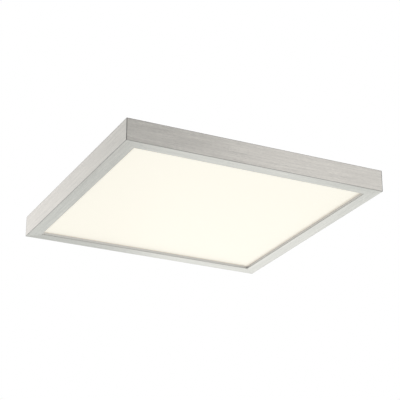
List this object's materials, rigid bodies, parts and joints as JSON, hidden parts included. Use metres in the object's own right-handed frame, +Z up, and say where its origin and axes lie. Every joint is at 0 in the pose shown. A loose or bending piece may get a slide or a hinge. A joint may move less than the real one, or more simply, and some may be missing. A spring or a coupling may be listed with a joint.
{
  "type": "square surface-mounted ceiling light",
  "caption": "Square surface-mounted ceiling light: mitred brushed metal frame, edge-lit opal panel, back pan with driver, and a sprung ceiling plate it pulls down from.",
  "frame": {"origin": "centre of the wire hole in the ceiling plate, in the plane of the ceiling", "axes": "+Z up into the ceiling, X and Y along the square frame's sides, +Y towards the driver"},
  "size_m": [0.381, 0.381, 0.0315],
  "materials": {
    "brushed_nickel": "brushed along each rail, nickel plated, satin",
    "opal_acrylic": "satin opal, lit from inside",
    "clear_acrylic": "clear polished sheet",
    "white_film": "matt white reflector film",
    "foam": null,
    "white_powder_coat": "fine white powder coat on steel",
    "zinc_plated_steel": "bright zinc plate on steel sheet",
    "cast_zinc": "die cast, as cast",
    "screw_steel": "zinc plated, bright",
    "spring_steel": "blue-grey tempered strip",
    "led_board": "white solder mask on an aluminium board",
    "led_package": "white package with a yellow phosphor window",
    "nylon": "moulded natural nylon",
    "lead_jacket": "white PVC jacket",
    "green_board": "green solder mask on glass-epoxy board",
    "ferrite": "sintered ferrite, dark grey",
    "winding_tape": "yellow polyester tape round the windings",
    "can_sleeve": "dark blue shrink sleeve",
    "enamelled_copper": "enamelled copper winding",
    "orange_terminal": "moulded orange terminal body",
    "earth_green": "steel screw with a green finish"
  },
  "bodies": {
    "ceiling_mount": {"ceiling_plate": "zinc_plated_steel", "catch_springs_left": "spring_steel", "catch_springs_right": "spring_steel", "catch_rivets": "screw_steel", "wire_bushing": "nylon", "earth_screw": "earth_green"},
    "lamp": {"frame_front": "brushed_nickel", "frame_back": "brushed_nickel", "frame_left": "brushed_nickel", "frame_right": "brushed_nickel", "corner_key_front_left": "cast_zinc", "corner_key_front_right": "cast_zinc", "corner_key_back_right": "cast_zinc", "corner_key_back_left": "cast_zinc", "corner_screws": "screw_steel", "diffuser": "opal_acrylic", "light_guide": "clear_acrylic", "reflector_sheet": "white_film", "foam_sheet": "foam", "back_pan": "white_powder_coat", "pan_screws": "screw_steel", "led_board_left": "led_board", "led_board_right": "led_board", "leds_left": "led_package", "leds_right": "led_package", "led_socket_left": "nylon", "led_socket_right": "nylon", "led_plug_left": "nylon", "led_plug_right": "nylon", "lead_left": "lead_jacket", "lead_right": "lead_jacket", "lead_clips": "nylon", "driver_tray": "zinc_plated_steel", "driver_cover": "white_powder_coat", "driver_board": "green_board", "board_screws": "screw_steel", "driver_screws": "screw_steel", "transformer_core": "ferrite", "transformer_winding": "winding_tape", "capacitors": "can_sleeve", "choke": "enamelled_copper", "mains_terminal": "orange_terminal", "output_terminal": "orange_terminal", "keeper_left": "zinc_plated_steel", "keeper_right": "zinc_plated_steel", "keeper_rivets": "screw_steel"}
  },
  "joints": [
    {"name": "lamp_release", "type": "slide", "parent": "ceiling_mount", "child": "lamp", "axis": [0, 0, -1], "range_m": [0, 0.025], "deforming": ["catch_springs_left", "catch_springs_right"]}
  ]
}
